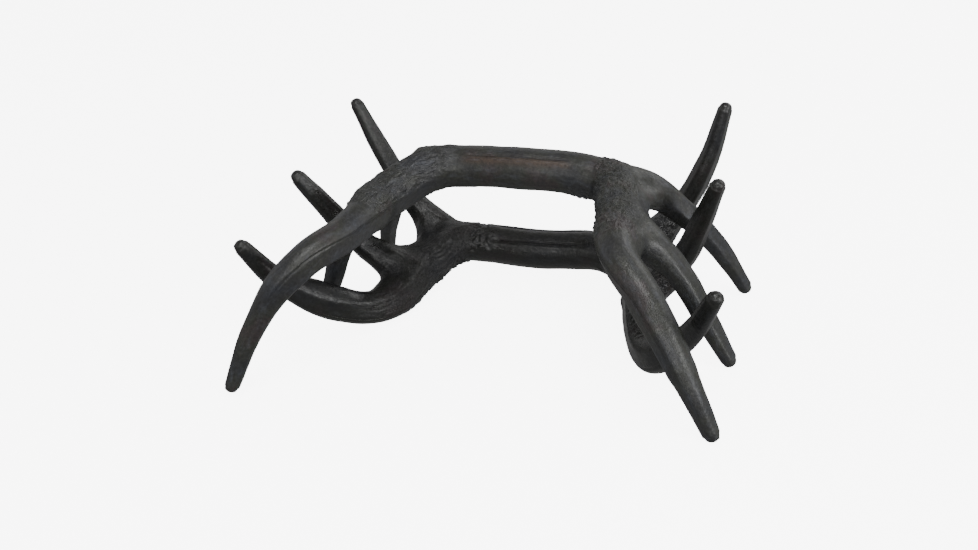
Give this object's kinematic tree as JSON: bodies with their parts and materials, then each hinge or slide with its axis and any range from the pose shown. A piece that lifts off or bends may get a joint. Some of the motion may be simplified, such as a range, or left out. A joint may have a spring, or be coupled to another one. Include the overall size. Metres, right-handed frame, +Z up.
{
  "type": "rattling antlers",
  "caption": "Pair of black moulded deer-antler game calls, each a hand grip with three-pointed antlers at both ends, nested one over the other.",
  "frame": {"origin": "on the floor under the middle of the nested pair's bounding box", "axes": "+Z up, +X along the two grips (the longest extent), the main beams curve forward to -Y"},
  "size_m": [0.3076, 0.2096, 0.1212],
  "materials": {
    "lower_polymer": "black dense polymer, semi-gloss, faintly mottled",
    "upper_polymer": "black dense polymer, semi-gloss, faintly mottled"
  },
  "bodies": {
    "lower_antler": {"lower_antler": "lower_polymer"},
    "upper_antler": {"upper_antler": "upper_polymer"}
  },
  "joints": [
    {"name": "upper_antler_lift", "type": "slide", "parent": "lower_antler", "child": "upper_antler", "axis": [0, 0, 1], "range_m": [0, 0.15]}
  ]
}
